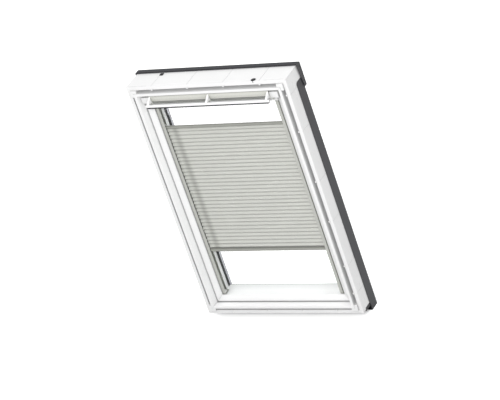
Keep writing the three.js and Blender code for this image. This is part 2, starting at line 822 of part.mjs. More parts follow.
// Black gasket in front of the inner pane: deep at the sides and the top, a low strip at the bottom
const gasketHalf = openingHalf - fit;
const gasketTopZ = glassOpeningTop - fit;
const gasketBottomZ = openingBottomZ + fit;
add('inner_gasket', geometryOf(cut(
  solid(block(-gasketHalf, gasketHalf, ledgeFront - gasketDepth, ledgeFront, gasketBottomZ, gasketTopZ)),
  [
    block(-gasketHalf + gasketThickness, gasketHalf - gasketThickness, ledgeFront - gasketDepth - overrun,
      ledgeFront + overrun, gasketBottomZ + bottomGasketThickness, gasketTopZ - gasketThickness),
    block(-gasketHalf + gasketThickness, gasketHalf - gasketThickness, ledgeFront - gasketDepth - overrun,
      ledgeFront - bottomGasketDepth, gasketBottomZ - overrun, gasketTopZ - gasketThickness),
  ],
)), 'rubber');

// Outer gasket and the sheet profiles that hold the glass from outside; the foot of the glass is
// left open for the rain to run off, so the gasket and the sheets stop there
const outerGasketFront = glassBack + fit;
const outerGasketRear = outerGasketFront + outerGasketThickness;
add('outer_gasket', geometryOf(cut(
  solid(block(-glassHalf, glassHalf, outerGasketFront, outerGasketRear, glassBottomZ, glassTopZ)),
  [block(-outerGasketInner, outerGasketInner, outerGasketFront - overrun, outerGasketRear + overrun,
    glassBottomZ - overrun, glassOpeningTop + outerGasketSetback)],
)), 'rubber');

const sashSheetFront = outerGasketRear + sashSheetGap;
const sashSheetBack = sashSheetFront + sheet;
const sashSheetOuter = sashHalf - fit;
const legFront = sashBack + fit;
const sashSheetLow = glassBottomZ - fit;
const sashSheetHigh = glassOpeningTop + sashSheetSetback;
const sideSheetOutline = [
  [sashSheetInner, sashSheetFront],
  [sashSheetInner, sashSheetBack],
  [sashSheetOuter, sashSheetBack],
  [sashSheetOuter, legFront],
  [sashSheetOuter - sheet, legFront],
  [sashSheetOuter - sheet, sashSheetFront],
];
add('sash_cladding_right', upright(sideSheetOutline, sashSheetLow + fit, sashSheetHigh - fit), 'darkSheet');
add('sash_cladding_left', upright(mirrored(sideSheetOutline), sashSheetLow + fit, sashSheetHigh - fit),
  'darkSheet');
const topSheetOutline = [
  [sashSheetFront, sashSheetHigh],
  [sashSheetBack, sashSheetHigh],
  [sashSheetBack, sashTopZ],
  [legFront, sashTopZ],
  [legFront, sashTopZ - sheet],
  [sashSheetFront, sashTopZ - sheet],
];
add('sash_cladding_top', across(topSheetOutline, -sashSheetOuter, sashSheetOuter), 'darkSheet');
const bottomSheetOutline = [
  [sashSheetFront, sashSheetLow],
  [sashSheetBack, sashSheetLow],
  [sashSheetBack, sashBottomZ - sashSheetLap],
  [sashSheetFront, sashBottomZ - sashSheetLap],
  [sashSheetFront, sashBottomZ],
  [legFront, sashBottomZ],
  [legFront, sashBottomZ + sheet],
  [sashSheetFront, sashBottomZ + sheet],
];
add('sash_cladding_bottom', across(bottomSheetOutline, -sashSheetOuter, sashSheetOuter), 'darkSheet');

// A point on the rounded front of the flap, from its shoulder at 0 down to its foot at 1
function flapFace(share) {
  const [a, b, c] = [(1 - share) ** 2, 2 * share * (1 - share), share ** 2];
  return [(a + b) * flapFaceY + c * flapFootY, a * flapShoulderZ + b * flapBulgeZ + c * flapFootZ];
}

// Ventilation flap: a rounded shell with a bead along its foot, which turns on a long pin
function flapOutline() {
  const shape = new THREE.Shape();
  shape.moveTo(flapTopY + flapWall, flapTopZ);
  shape.lineTo(flapTopY, flapLipZ);
  shape.lineTo(flapFaceY, flapShoulderZ);
  shape.quadraticCurveTo(flapFaceY, flapBulgeZ, flapFootY, flapFootZ);
  shape.lineTo(flapAxisY - flapBeadRadius / 2, flapAxisZ - flapBeadRadius + flapLip);
  shape.lineTo(flapAxisY - flapBeadRadius / 2, flapAxisZ + flapWall / 2);
  shape.lineTo(flapFootY + flapWall / 2, flapFootZ + flapWall + flapLip);
  shape.quadraticCurveTo(flapFaceY + flapWall, flapBulgeZ + flapThinning,
    flapFaceY + flapWall, flapShoulderZ);
  return shape;
}

// A plate closes each end of the shell, down to the bead
function flapEndOutline() {
  const shape = new THREE.Shape();
  shape.moveTo(flapTopY + flapWall, flapTopZ);
  shape.lineTo(flapTopY, flapLipZ);
  shape.lineTo(flapFaceY, flapShoulderZ);
  shape.quadraticCurveTo(flapFaceY, flapBulgeZ, flapFootY, flapFootZ);
  shape.lineTo(flapAxisY - flapBeadRadius / 2, flapAxisZ - flapBeadRadius + flapLip);
  shape.lineTo(flapAxisY, flapAxisZ);
  return shape;
}

add('vent_flap', geometryOf(cut(
  joined([
    across(flapOutline(), -flapHalfWidth, flapHalfWidth, 8),
    across(flapEndOutline(), -flapHalfWidth, -flapHalfWidth + flapEndWall, 8),
    across(flapEndOutline(), flapHalfWidth - flapEndWall, flapHalfWidth, 8),
    rodAlongX(flapBeadRadius, -flapHalfWidth, flapHalfWidth, flapAxisY, flapAxisZ, 14),
  ]),
  [rodAlongX(flapPinRadius + fit, -flapHalfWidth - overrun, flapHalfWidth + overrun,
    flapAxisY, flapAxisZ, 12)],
)), 'flapWhite');
add('flap_pin', rodAlongX(flapPinRadius, -ventEndHalfWidth + fit, ventEndHalfWidth - fit,
  flapAxisY, flapAxisZ, 12), 'steel');

// End blocks on the sash carry the flap's pin
for (const [name, side] of sides) {
  const end = cut(
    solid(block(ventEndStart, ventEndHalfWidth, ventEndFront, sashTopFront - fit,
      ventEndTopZ - ventEndHeight, ventEndTopZ)),
    [rodAlongX(flapPinRadius + fit, ventEndStart - overrun, ventEndHalfWidth + overrun,
      flapAxisY, flapAxisZ, 12)],
  );
  add(`vent_end_${name}`, geometryOf(side > 0 ? end : mirrorAcross(end)), 'flapWhite');
}

// Control bar on three brackets, which stand on the flap
const barBack = barFront + barThickness;
add('control_bar', across(roundedRectangle(barFront, barBack, barTopZ - barHeight, barTopZ, barRound),
  -barHalfLength, barHalfLength, 4), 'frameWhite');
const bracketRoot = Array.from({ length: bracketRootSteps + 1 }, (_, i) => {
  const [y, z] = flapFace(bracketRootShare * (1 - i / bracketRootSteps));
  return [y - bracketGap, z];
});
const bracketOutline = [
  [flapTopY - bracketGap, flapTopZ - bracketTopDrop],
  [barFront, barTopZ + bracketShoulder],
  [barFront, barTopZ + fit],
  [barBack, barTopZ + fit],
  ...bracketRoot,
];
for (const [name, x] of [['left', -bracketOffset], ['middle', 0], ['right', bracketOffset]]) {
  const bracket = across(bracketOutline, x - bracketWidth / 2, x + bracketWidth / 2);
  add(`bar_bracket_${name}`, bracket, 'frameWhite');
}

// Blind

// Side rails: a flange in front of the cloth, a step back to the sash, a web and a short lip behind
const railWall = openingHalf - fit;
const railStepBack = railFront + railStep;
const railOutline = [
  [railWall, railStepBack],
  [railWall - railStep, railStepBack],
  [railWall - railStep, railFront],
  [railWall - railWidth, railFront],
  [railWall - railWidth, railFront + railSheet],
  [railWall - railStep - railSheet, railFront + railSheet],
  [railWall - railStep - railSheet, railStepBack + railSheet],
  [railWall - railSheet, railStepBack + railSheet],
  [railWall - railSheet, railBack - railSheet],
  [railWall - railLip, railBack - railSheet],
  [railWall - railLip, railBack],
  [railWall, railBack],
];
const railBottomZ = openingBottomZ + railBottomGap;
const railTopZ = glassOpeningTop - fit;
for (const [name, side] of sides) {
  const outline = side > 0 ? railOutline : mirrored(railOutline);
  add(`rail_${name}`, upright(outline, railBottomZ, railTopZ), 'railGrey');
}

// Bars at the two ends of the cloth: a plate with a flange in front; the flange of the upper bar
// stands up and its plate has a clip below, the flange of the lower bar hangs down
const shoeFront = railFront + railSheet + latchClearance;
const topBarBottomZ = railTopZ - topBarDrop;
const topBarTopZ = topBarBottomZ + barFlangeHeight;
const clipZ = topBarBottomZ - barClipHeight;
const clothTopZ = clipZ - fit;
const clothBottomZ = clothTopZ - clothCells * cellPitch;
const bottomPlateZ = clothBottomZ - fit;
const bottomBarTopZ = bottomPlateZ + bottomFlangeRise;
const bottomBarBottomZ = bottomBarTopZ - barFlangeHeight;
const topBarOutline = [
  [blindFront, topBarTopZ],
  [blindFront, topBarBottomZ],
  [blindMid - barClipDepth / 2, topBarBottomZ],
  [blindMid - barClipDepth / 2, clipZ],
  [blindMid + barClipDepth / 2, clipZ],
  [blindMid + barClipDepth / 2, topBarBottomZ],
  [blindBack, topBarBottomZ],
  [blindBack, topBarBottomZ + barSheet],
  [blindFront + barSheet, topBarBottomZ + barSheet],
  [blindFront + barSheet, topBarTopZ],
];
const bottomBarOutline = [
  [blindFront, bottomBarBottomZ],
  [blindFront, bottomBarTopZ],
  [blindFront + barSheet, bottomBarTopZ],
  [blindFront + barSheet, bottomPlateZ],
  [blindBack, bottomPlateZ],
  [blindBack, bottomPlateZ - barSheet],
  [blindFront + barSheet, bottomPlateZ - barSheet],
  [blindFront + barSheet, bottomBarBottomZ],
];
const bars = [
  ['top', topBarOutline, clipZ, topBarBottomZ, topBarTopZ],
  ['bottom', bottomBarOutline, bottomBarBottomZ, bottomBarBottomZ, bottomBarTopZ],
];

// A block as deep as the rail's inside, with a bore for the tension cord
function corded(side, low, high) {
  const body = cut(
    solid(block(blindBarHalf + fit, shoeEnd, shoeFront, shoeFront + shoeDepth, low, high)),
    [rodAlongZ(cordBore, low - overrun, high + overrun, cordX, cordY, 8)],
  );
  return geometryOf(side > 0 ? body : mirrorAcross(body));
}

for (const [name, outline, footZ, lowZ, highZ] of bars) {
  const holes = [-clothHoleX, clothHoleX].map((x) => rodAlongZ(clothHoleRadius, footZ - overrun,
    highZ + overrun, x, blindMid, 8));
  add(`blind_${name}_bar`, geometryOf(cut(solid(across(outline, -blindBarHalf, blindBarHalf)), holes)),
    'railGrey');
  for (const [hand, side] of sides) {
    add(`${name}_bar_shoe_${hand}`, corded(side, lowZ + shoeInset, highZ - shoeInset), 'keyWhite');
  }
}

// Tension cords: each runs taut inside its rail, between a holder at either end of the rail
for (const [hand, side] of sides) {
  add(`cord_holder_top_${hand}`, corded(side, railTopZ - holderHeight, railTopZ), 'keyWhite');
  add(`cord_holder_bottom_${hand}`, corded(side, railBottomZ, railBottomZ + holderHeight), 'keyWhite');
  add(`cord_${hand}`, rodAlongZ(cordRadius, railBottomZ, railTopZ, side * cordX, cordY, 8), 'cord');
}

// Honeycomb cloth: a row of six-sided cells open at both ends, glued cell to cell
const peakFront = blindFront + clothPeakInset;
const peakBack = blindBack - clothPeakInset;
const valleyFront = peakFront + clothFold;
const valleyBack = peakBack - clothFold;

function clothOutline() {
  const front = [];
  const back = [];
  for (let i = 0; i < clothCells; i += 1) {
    const top = clothTopZ - i * cellPitch;
    front.push([valleyFront, top], [peakFront, top - cellPitch / 2]);
    back.push([valleyBack, top], [peakBack, top - cellPitch / 2]);
  }
  front.push([valleyFront, clothBottomZ]);
  back.push([valleyBack, clothBottomZ]);
  const shape = shapeOf([...front, ...back.reverse()]);
  for (let i = 0; i < clothCells; i += 1) {
    const top = clothTopZ - i * cellPitch - clothWall / 2;
    const low = clothTopZ - (i + 1) * cellPitch + clothWall / 2;
    const middle = (top + low) / 2;
    const hole = [
      [valleyFront + clothWall / 2, top],
      [peakFront + clothWall, middle],
      [valleyFront + clothWall / 2, low],
      [valleyBack - clothWall / 2, low],
      [peakBack - clothWall, middle],
      [valleyBack - clothWall / 2, top],
    ];
    shape.holes.push(new THREE.Path(hole.map(([y, z]) => new THREE.Vector2(y, z))));
  }
  return shape;
}

const clothCordHoles = [-clothHoleX, clothHoleX].map((x) => rodAlongZ(clothHoleRadius,
  clothBottomZ - overrun, clothTopZ + overrun, x, blindMid, 3));
add('blind_cloth', geometryOf(cut(
  solid(across(clothOutline(), -clothHalfWidth, clothHalfWidth)),
  clothCordHoles,
)), 'cloth');

// The origin moves to the middle of the sill face
const roofWindow = new THREE.Group();
model.position.set(0, -sillMidY, halfH);
roofWindow.add(model);

export default roofWindow;
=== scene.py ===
# Looks of a white centre-pivot roof window with its honeycomb blind.
# Lengths are worked out in millimetres about the middle of the window, with depth 0 at the raised
# front of the frame, as in the part's source; place() turns them into metres from the sill.

import json
import math
import random

import bmesh
import bpy
from bmesh.types import BMEdge, BMFace, BMVert
from mathutils import Matrix, Vector, noise


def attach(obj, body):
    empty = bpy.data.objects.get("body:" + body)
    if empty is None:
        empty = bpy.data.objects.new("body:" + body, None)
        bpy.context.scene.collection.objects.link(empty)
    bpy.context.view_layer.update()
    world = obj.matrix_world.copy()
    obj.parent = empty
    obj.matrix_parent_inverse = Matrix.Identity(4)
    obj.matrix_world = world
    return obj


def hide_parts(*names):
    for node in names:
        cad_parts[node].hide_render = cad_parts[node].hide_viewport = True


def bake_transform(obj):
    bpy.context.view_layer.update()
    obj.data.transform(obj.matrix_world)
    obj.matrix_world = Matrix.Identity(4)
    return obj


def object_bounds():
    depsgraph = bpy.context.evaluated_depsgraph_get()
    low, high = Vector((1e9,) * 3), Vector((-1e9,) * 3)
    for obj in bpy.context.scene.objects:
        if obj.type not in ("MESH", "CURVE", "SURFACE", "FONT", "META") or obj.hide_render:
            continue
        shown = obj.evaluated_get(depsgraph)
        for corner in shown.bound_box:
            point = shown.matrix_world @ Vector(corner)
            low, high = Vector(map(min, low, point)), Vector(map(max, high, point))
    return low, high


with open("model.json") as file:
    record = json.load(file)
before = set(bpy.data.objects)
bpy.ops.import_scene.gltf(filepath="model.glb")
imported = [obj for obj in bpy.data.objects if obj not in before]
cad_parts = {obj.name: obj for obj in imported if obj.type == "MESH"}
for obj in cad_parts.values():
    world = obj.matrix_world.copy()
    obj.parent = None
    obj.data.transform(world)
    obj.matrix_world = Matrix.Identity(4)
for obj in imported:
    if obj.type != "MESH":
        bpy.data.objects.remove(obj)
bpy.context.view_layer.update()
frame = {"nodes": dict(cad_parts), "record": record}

MM = 0.001
SILL_DEPTH = 23.0
HALF_HEIGHT = 589.0


def place(x, y, z):
    """A point of the window in millimetres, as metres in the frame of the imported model."""
    return Vector((x * MM, (y - SILL_DEPTH) * MM, (z + HALF_HEIGHT) * MM))


# Camera: where the photograph was taken from, found from the corners of the frame

CAMERA_PLACE = place(5833, -8342, 5377)
CAMERA_RIGHT = Vector((0.863, 0.411, -0.294))
CAMERA_FORWARD = Vector((-0.505, 0.726, -0.467))
CAMERA_REACH = 100
SENSOR_WIDTH = 36.0
FOCAL_SHARE = 2691 / 500


def make_camera():
    forward = CAMERA_FORWARD.normalized()
    right = (CAMERA_RIGHT - forward * CAMERA_RIGHT.dot(forward)).normalized()
    up = right.cross(forward)
    camera = bpy.data.objects.new("camera", bpy.data.cameras.new("camera"))
    camera.data.sensor_fit = "HORIZONTAL"
    camera.data.sensor_width = SENSOR_WIDTH
    camera.data.lens = SENSOR_WIDTH * FOCAL_SHARE
    camera.data.clip_end = CAMERA_REACH
    axes = Matrix((right, up, -forward)).transposed()
    camera.matrix_world = Matrix.Translation(CAMERA_PLACE) @ axes.to_4x4()
    bpy.context.scene.collection.objects.link(camera)
    bpy.context.scene.camera = camera


make_camera()


# Node materials

def linear(hex_colour):
    """An sRGB hex colour as linear values with alpha 1."""
    values = [int(hex_colour[i:i + 2], 16) / 255 for i in (1, 3, 5)]
    return [v / 12.92 if v <= 0.04045 else ((v + 0.055) / 1.055) ** 2.4 for v in values] + [1.0]


def add_node(tree, kind, settings=None, inputs=None):
    """A node with its settings, and its inputs, by name or number, set to a value or linked."""
    node = tree.nodes.new(kind)
    for name, value in (settings or {}).items():
        setattr(node, name, value)
    for key, value in (inputs or {}).items():
        if isinstance(value, bpy.types.NodeSocket):
            tree.links.new(value, node.inputs[key])
        else:
            node.inputs[key].default_value = value
    return node


def new_tree(name):
    material = bpy.data.materials.new(name)
    material.use_nodes = True
    material.node_tree.nodes.clear()
    return material, material.node_tree


def close_tree(tree, shader):
    add_node(tree, "ShaderNodeOutputMaterial", inputs={"Surface": shader.outputs[0]})


def grain(tree, size_mm, detail=3.0, stretch=(1, 1, 1)):
    """Noise whose lumps are size_mm across on the piece itself."""
    coordinates = add_node(tree, "ShaderNodeTexCoord")
    mapping = add_node(tree, "ShaderNodeMapping", inputs={
        "Vector": coordinates.outputs["Object"], "Scale": stretch})
    noisy = add_node(tree, "ShaderNodeTexNoise", inputs={
        "Vector": mapping.outputs["Vector"], "Scale": 1 / (size_mm * MM), "Detail": detail})
    return noisy.outputs[0]


# Painted shade in inside corners: how far the occlusion looks, and its samples
CORNER_SHADE_REACH = 50.0
CORNER_SHADE_SAMPLES = 8


def paint_corner_shade(tree, tone, corner_shade):
    """Painted shade: greys a tone towards the inside corners, by how closely other surfaces hide each
    point.
    """
    corner = add_node(tree, "ShaderNodeAmbientOcclusion", {"samples": CORNER_SHADE_SAMPLES}, {
        "Distance": CORNER_SHADE_REACH * MM})
    unshaded_share = add_node(tree, "ShaderNodeMath", {"operation": "MULTIPLY"}, {
        0: corner.outputs["AO"], 1: corner.outputs["AO"]})
    return add_node(tree, "ShaderNodeMix", {"data_type": "RGBA"}, {
        "Factor": unshaded_share.outputs[0], "A": linear(corner_shade), "B": tone.outputs["Result"]})


NOISE_MIDDLE = (0.3, 0.7)
COAT_ROUGH = 0.15
RELIEF_STRENGTH = 0.5
BROAD_DETAIL = 2.0


def coated(name, dark, light, rough, relief_mm, lumps_mm, metallic=0.0, coat=0.0, stretch=(1, 1, 1),
           specular=0.5, corner_shade=None):
    """A coated or moulded surface: broad tone drift, fine grain in the gloss and the relief,
    and, if a shade colour is given, painted shade in its inside corners.
    """
    broad_mm, fine_mm = lumps_mm
    material, tree = new_tree(name)
    broad = grain(tree, broad_mm, BROAD_DETAIL, stretch)
    fine = grain(tree, fine_mm)
    tone = add_node(tree, "ShaderNodeMix", {"data_type": "RGBA"}, {
        "Factor": broad, "A": linear(dark), "B": linear(light)})
    if corner_shade:
        tone = paint_corner_shade(tree, tone, corner_shade)
    gloss = add_node(tree, "ShaderNodeMapRange", inputs={
        "Value": fine, "From Min": NOISE_MIDDLE[0], "From Max": NOISE_MIDDLE[1],
        "To Min": rough[0], "To Max": rough[1]})
    relief = add_node(tree, "ShaderNodeBump", inputs={
        "Height": fine, "Strength": RELIEF_STRENGTH, "Distance": relief_mm * MM})
    shader = add_node(tree, "ShaderNodeBsdfPrincipled", inputs={
        "Base Color": tone.outputs["Result"], "Roughness": gloss.outputs[0],
        "Normal": relief.outputs[0], "Metallic": metallic, "Coat Weight": coat,
        "Coat Roughness": COAT_ROUGH, "Specular IOR Level": specular})
    close_tree(tree, shader)
    return material


# Pine under white polyurethane lacquer, sprayed: satin, with faint orange peel; painted shade greys its
# inside corners
white_lacquer = coated("white_lacquer_satin", "#d4d4d4", "#dbdbdb", rough=(0.3, 0.42), relief_mm=0.05,
                       lumps_mm=(160, 3.5), coat=0.15, corner_shade="#bababa")
# Moulded ABS: an even matt white with a fine spark-eroded grain; painted shade greys its inside corners
white_plastic = coated("white_abs_moulded", "#d2d2d2", "#d9d9d9", rough=(0.42, 0.56), relief_mm=0.08,
                       lumps_mm=(40, 1.6), corner_shade="#b2b2b1")
# Moulded ASA of the flap: a warmer white, with a soft sheen; painted shade darkens it strongly in its
# inside corners
flap_white = coated("flap_asa_moulded", "#c8c8c2", "#d0d0ca", rough=(0.36, 0.5), relief_mm=0.06,
                    lumps_mm=(60, 2.0), corner_shade="#868780")
# Powder coat on extruded aluminium: smooth bright white
bar_white = coated("bar_powder_coat", "#dedede", "#e5e5e5", rough=(0.28, 0.4), relief_mm=0.05,
                   lumps_mm=(80, 2.4), coat=0.2)
# Coil-coated aluminium sheet: dark grey, low sheen, faint rolling streaks along its length
grey_sheet = coated("grey_coil_coated_sheet", "#242427", "#2b2b2f", rough=(0.46, 0.6), relief_mm=0.06,
                    lumps_mm=(30, 2.2), stretch=(1, 1, 0.15), specular=0.3)
# EPDM rubber: black, matt, slightly dusty
black_rubber = coated("black_epdm", "#151517", "#212123", rough=(0.62, 0.8), relief_mm=0.1,
                      lumps_mm=(12, 1.2))
# Zinc-plated steel: soft bluish metal with cloudy patches
zinc_steel = coated("zinc_plated_steel", "#a9adb2", "#c4c7ca", rough=(0.26, 0.44), relief_mm=0.03,
                    lumps_mm=(9, 1.0), metallic=1.0)
# Open-cell polyether foam of the air filter: rough, dull and dark in its pores
# Its dark tone also serves as painted shade on the flap's air inlet
filter_foam = coated("filter_open_foam", "#484a49", "#727473", rough=(0.9, 1.0), relief_mm=0.9,
                     lumps_mm=(4, 1.4))
# Powder-coated aluminium of the blind's bars: pale grey beige with a fine texture, darker than the rails'
# copy of it; the darker tone and the greying in its inside corners are painted shade
blind_profile = coated("blind_profile_powder_shaded", "#82837d", "#8c8d87", rough=(0.36, 0.5), relief_mm=0.07,
                       lumps_mm=(50, 1.8), metallic=0.2, corner_shade="#4e4f49")
# Powder-coated aluminium of the blind's side rails: the same texture, a lighter grey beige, the lit copy
# of the bars' finish; painted shade greys its inside corners
rail_profile = coated("rail_profile_powder_lit", "#a0a19c", "#aaaba6", rough=(0.36, 0.5), relief_mm=0.07,
                      lumps_mm=(50, 1.8), metallic=0.2, corner_shade="#7c7d77")
# Twisted polyester cord: off-white, with no gloss
cord_yarn = coated("cord_polyester", "#dededa", "#efefea", rough=(0.75, 0.9), relief_mm=0.2,
                   lumps_mm=(3, 0.8), stretch=(1, 1, 0.3))

HOLE_PITCH = 5.0
HOLE_EDGE_SHARES = (0.12, 0.2)
SPACER_GRAIN = 1.5


def make_spacer_metal():
    """Mill-finish aluminium spacer with its rows of fine holes, drawn 5 mm apart to show."""
    material, tree = new_tree("spacer_mill_aluminium")
    coordinates = add_node(tree, "ShaderNodeTexCoord")
    holes = add_node(tree, "ShaderNodeTexVoronoi", inputs={
        "Vector": coordinates.outputs["Object"], "Scale": 1 / (HOLE_PITCH * MM), "Randomness": 0.0})
    dot = add_node(tree, "ShaderNodeMapRange", inputs={
        "Value": holes.outputs["Distance"], "From Min": HOLE_EDGE_SHARES[0],
        "From Max": HOLE_EDGE_SHARES[1]})
    tone = add_node(tree, "ShaderNodeMix", {"data_type": "RGBA"}, {
        "Factor": dot.outputs[0], "A": linear("#6f6f75"), "B": linear("#a6a6ac")})
    gloss = add_node(tree, "ShaderNodeMapRange", inputs={
        "Value": grain(tree, SPACER_GRAIN), "From Min": NOISE_MIDDLE[0],
        "From Max": NOISE_MIDDLE[1], "To Min": 0.34, "To Max": 0.5})
    shader = add_node(tree, "ShaderNodeBsdfPrincipled", inputs={
        "Base Color": tone.outputs["Result"], "Roughness": gloss.outputs[0], "Metallic": 0.7})
    close_tree(tree, shader)
    return material


FILM_PATCH = 90


def make_glass():
    """Float glass: clear, faintly green, with a light film that dulls the gloss in patches.
    Shadow rays pass, as light does through a window."""
    material, tree = new_tree("clear_float_glass")
    gloss = add_node(tree, "ShaderNodeMapRange", inputs={
        "Value": grain(tree, FILM_PATCH, BROAD_DETAIL), "From Min": NOISE_MIDDLE[0],
        "From Max": NOISE_MIDDLE[1], "To Min": 0.0, "To Max": 0.035})
    shader = add_node(tree, "ShaderNodeBsdfPrincipled", inputs={
        "Base Color": linear("#ffffff"), "Roughness": gloss.outputs[0], "IOR": 1.45,
        "Transmission Weight": 1.0})
    clear = add_node(tree, "ShaderNodeBsdfTransparent", inputs={"Color": linear("#f7faf9")})
    path = add_node(tree, "ShaderNodeLightPath")
    mixed = add_node(tree, "ShaderNodeMixShader", inputs={
        "Fac": path.outputs["Is Shadow Ray"], 1: shader.outputs[0], 2: clear.outputs[0]})
    close_tree(tree, mixed)
    return material


# A wave texture of scale 1 repeats every 0.314 m
WAVE_LENGTH = 0.314
THREAD_PITCH = 1.5
THREAD_RELIEF = 0.15
DYE_PATCH = 55
CORD_RUN = 170.0
CORD_SHADOW_HALF = 1.3
CORD_SHADOW_STRENGTH = 0.25
SHADE_MIDDLE = -253.0
SHADE_REACH = 25.0
CLOTH_GLOW = 0.05
CLOTH_OPEN = 0.12


def cloth_weave(tree, flat):
    """Cross weave of two threads, each a little uneven."""
    threads = []
    for direction in ("X", "Y"):
        threads.append(add_node(tree, "ShaderNodeTexWave", {"bands_direction": direction}, {
            "Vector": flat.outputs[0], "Scale": WAVE_LENGTH / (THREAD_PITCH * MM), "Distortion": 1.5,
            "Detail": 1.0, "Detail Scale": 2.0}))
    crossed = add_node(tree, "ShaderNodeMath", {"operation": "MULTIPLY"}, {
        0: threads[0].outputs["Fac"], 1: threads[1].outputs["Fac"]})
    return crossed.outputs[0]


def cloth_tone(tree, flat, weave):
    """Uneven dye, the threads, a slight painted shadow over each cord and the shade near the left edge."""
    dyed = add_node(tree, "ShaderNodeMix", {"data_type": "RGBA"}, {
        "Factor": grain(tree, DYE_PATCH), "A": linear("#b5b6b1"), "B": linear("#bdbeb9")})
    woven = add_node(tree, "ShaderNodeMix", {"data_type": "RGBA", "blend_type": "MULTIPLY"}, {
        "Factor": weave, "A": dyed.outputs["Result"], "B": linear("#eeeeea")})
    across = add_node(tree, "ShaderNodeSeparateXYZ", inputs={"Vector": flat.outputs[0]})
    from_middle = add_node(tree, "ShaderNodeMath", {"operation": "ABSOLUTE"}, {
        0: across.outputs["X"]})
    # Painted shadow of each cord: a narrow darker line over where it runs behind the cloth
    cord_shadow = add_node(tree, "ShaderNodeMath", {"operation": "COMPARE"}, {
        0: from_middle.outputs[0], 1: CORD_RUN * MM, 2: CORD_SHADOW_HALF * MM})
    faint = add_node(tree, "ShaderNodeMath", {"operation": "MULTIPLY"}, {
        0: cord_shadow.outputs[0], 1: CORD_SHADOW_STRENGTH})
    cord_shaded = add_node(tree, "ShaderNodeMix", {"data_type": "RGBA"}, {
        "Factor": faint.outputs[0], "A": woven.outputs["Result"], "B": linear("#a9aaa3")})
    offset = add_node(tree, "ShaderNodeMath", {"operation": "SUBTRACT"}, {
        0: across.outputs["X"], 1: SHADE_MIDDLE * MM})
    distance = add_node(tree, "ShaderNodeMath", {"operation": "ABSOLUTE"}, {0: offset.outputs[0]})
    shade = add_node(tree, "ShaderNodeMapRange", {"interpolation_type": "SMOOTHSTEP"}, {
        "Value": distance.outputs[0], "From Min": 0.0, "From Max": SHADE_REACH * MM,
        "To Min": 1.0, "To Max": 0.0})
    return add_node(tree, "ShaderNodeMix", {"data_type": "RGBA", "blend_type": "MULTIPLY"}, {
        "Factor": shade.outputs[0], "A": cord_shaded.outputs["Result"], "B": linear("#dadad8")})


def make_pleated_cloth():
    """Spun polyester, pleated and heat-set: matt, with a fine cross weave (drawn 1.5 mm apart so
    that it shows), uneven dye and a slight painted shadow where the cords run behind it. A soft
    shade runs down near the left edge, where the dark edge of the glass stands close behind."""
    material, tree = new_tree("cloth_spun_polyester")
    flat = add_node(tree, "ShaderNodeUVMap", {"uv_map": "cloth"})
    weave = cloth_weave(tree, flat)
    tone = cloth_tone(tree, flat, weave)
    relief = add_node(tree, "ShaderNodeBump", inputs={
        "Height": weave, "Strength": 0.35, "Distance": THREAD_RELIEF * MM})
    front = add_node(tree, "ShaderNodeBsdfPrincipled", inputs={
        "Base Color": tone.outputs["Result"], "Roughness": 0.92, "Normal": relief.outputs[0],
        "Sheen Weight": 0.15, "Sheen Roughness": 0.5})
    glow = add_node(tree, "ShaderNodeBsdfTranslucent", inputs={"Color": tone.outputs["Result"]})
    body = add_node(tree, "ShaderNodeMixShader", inputs={
        "Fac": CLOTH_GLOW, 1: front.outputs[0], 2: glow.outputs[0]})
    gaps = add_node(tree, "ShaderNodeBsdfTransparent")
    shader = add_node(tree, "ShaderNodeMixShader", inputs={
        "Fac": CLOTH_OPEN, 1: body.outputs[0], 2: gaps.outputs[0]})
    close_tree(tree, shader)
    return material


materials = {
    "white_lacquer": white_lacquer,
    "white_plastic": white_plastic,
    "flap_white": flap_white,
    "bar_white": bar_white,
    "grey_sheet": grey_sheet,
    "black_rubber": black_rubber,
    "zinc_steel": zinc_steel,
    "spacer_metal": make_spacer_metal(),
    "clear_glass": make_glass(),
    "filter_foam": filter_foam,
    "blind_profile": blind_profile,
    "pleated_cloth": make_pleated_cloth(),
    "cord_yarn": cord_yarn,
}

# Every node of the imported model gets the finish of its slot, and the side rails the lighter, lit copy of
# the bars' finish
for part in frame["record"]["subparts"]:
    for socket in frame["nodes"][part["node"]].material_slots:
        socket.material = materials[part["material_slot"]]
for node_name in ("rail_left", "rail_right"):
    for socket in frame["nodes"][node_name].material_slots:
        socket.material = rail_profile


# Shared steps of the pieces

SIDES = (("left", -1), ("right", 1))


def only(items, kind):
    """The vertices, edges or faces among what an operator made."""
    return [item for item in items if isinstance(item, kind)]


def finish_mesh(name, mesh_data, slot, body=None):
    """Turns a bmesh into a named piece with its material, which rides on a body if one is given."""
    mesh = bpy.data.meshes.new(name)
    mesh_data.to_mesh(mesh)
    mesh_data.free()
    mesh.materials.append(materials[slot])
    piece = bpy.data.objects.new(name, mesh)
    bpy.context.scene.collection.objects.link(piece)
    if body:
        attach(piece, body)
    return piece


SMOOTH_BELOW = math.radians(32)


def sharp_edges(mesh_data):
    return [edge for edge in mesh_data.edges
            if len(edge.link_faces) == 2 and edge.calc_face_angle() > SMOOTH_BELOW]


def smooth_between_edges(mesh_data):
    for face in mesh_data.faces:
        face.smooth = True
    for edge in sharp_edges(mesh_data):
        edge.smooth = False


def round_edges(mesh_data, edges, radius_mm):
    bmesh.ops.bevel(mesh_data, geom=edges, offset=radius_mm * MM, offset_type="OFFSET", segments=3,
                    profile=0.5, affect="EDGES", clamp_overlap=True, material=-1)


def drawn_out(corners, way):
    """A solid whose section has these corners, drawn out along a vector."""
    mesh_data = bmesh.new()
    face = mesh_data.faces.new([mesh_data.verts.new(corner) for corner in corners])
    grown = bmesh.ops.extrude_face_region(mesh_data, geom=[face])["geom"]
    bmesh.ops.translate(mesh_data, vec=way, verts=only(grown, BMVert))
    bmesh.ops.recalc_face_normals(mesh_data, faces=mesh_data.faces[:])
    return mesh_data


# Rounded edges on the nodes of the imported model

WELD_REACH = 0.01
FLAT_BELOW = math.radians(1.0)
EASING_SEGMENTS = 2


